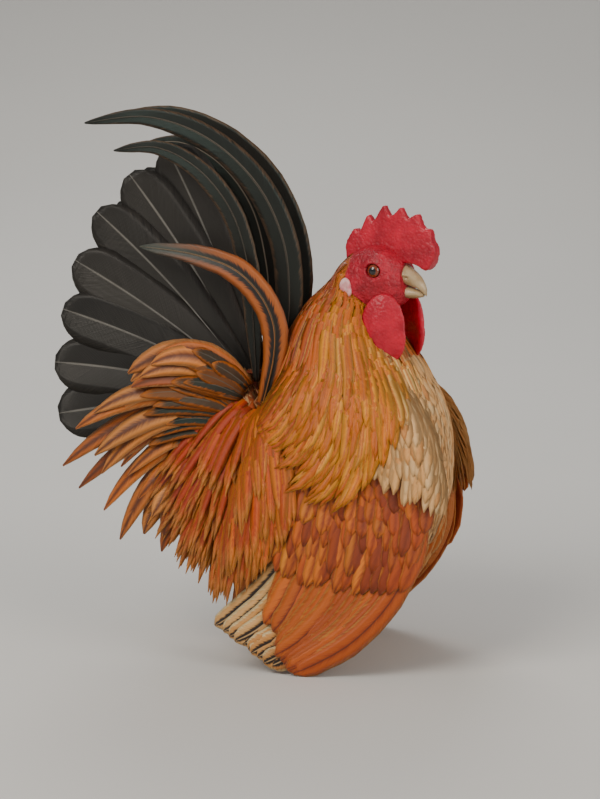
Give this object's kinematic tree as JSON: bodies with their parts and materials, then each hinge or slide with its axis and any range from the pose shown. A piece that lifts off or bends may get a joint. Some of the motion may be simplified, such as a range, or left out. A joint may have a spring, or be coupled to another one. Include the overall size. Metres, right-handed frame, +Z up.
{
  "type": "japanese bantam cockerel",
  "caption": "Life-size standing bantam cockerel with drooped wings, an upright fanned tail and its head turned to its right.",
  "frame": {"origin": "on the floor, under the middle of the bird's box", "axes": "+X the way the bird's body faces, +Y its left side, +Z up"},
  "size_m": [0.233, 0.1426, 0.3155],
  "materials": {
    "plumage": "glossy chestnut feathers",
    "hackle": "glossy golden orange feathers",
    "fluff": "soft buff down",
    "covert": "bronze feathers with black centres",
    "black_feather": "black feathers with a green sheen",
    "bare_skin": "fine grained red skin",
    "comb": "pebbled crimson skin",
    "earlobe": "smooth pinkish white skin",
    "horn": "polished pale horn",
    "eye": "wet dark orange eye",
    "shank": "scaled yellow skin"
  },
  "bodies": {
    "root": {"torso": "plumage", "neck": "hackle", "head": "bare_skin", "beak_upper": "horn", "beak_lower": "horn", "comb": "comb", "tail": "black_feather", "eye_right": "eye", "earlobe_right": "earlobe", "wattle_right": "comb", "wing_right": "plumage", "thigh_right": "fluff", "leg_right": "shank", "coverts_right": "covert", "sickle_right": "black_feather", "second_sickle_right": "black_feather", "lesser_sickle_right": "covert", "eye_left": "eye", "earlobe_left": "earlobe", "wattle_left": "comb", "wing_left": "plumage", "thigh_left": "fluff", "leg_left": "shank", "coverts_left": "covert", "sickle_left": "black_feather", "second_sickle_left": "black_feather", "lesser_sickle_left": "covert"}
  },
  "joints": []
}
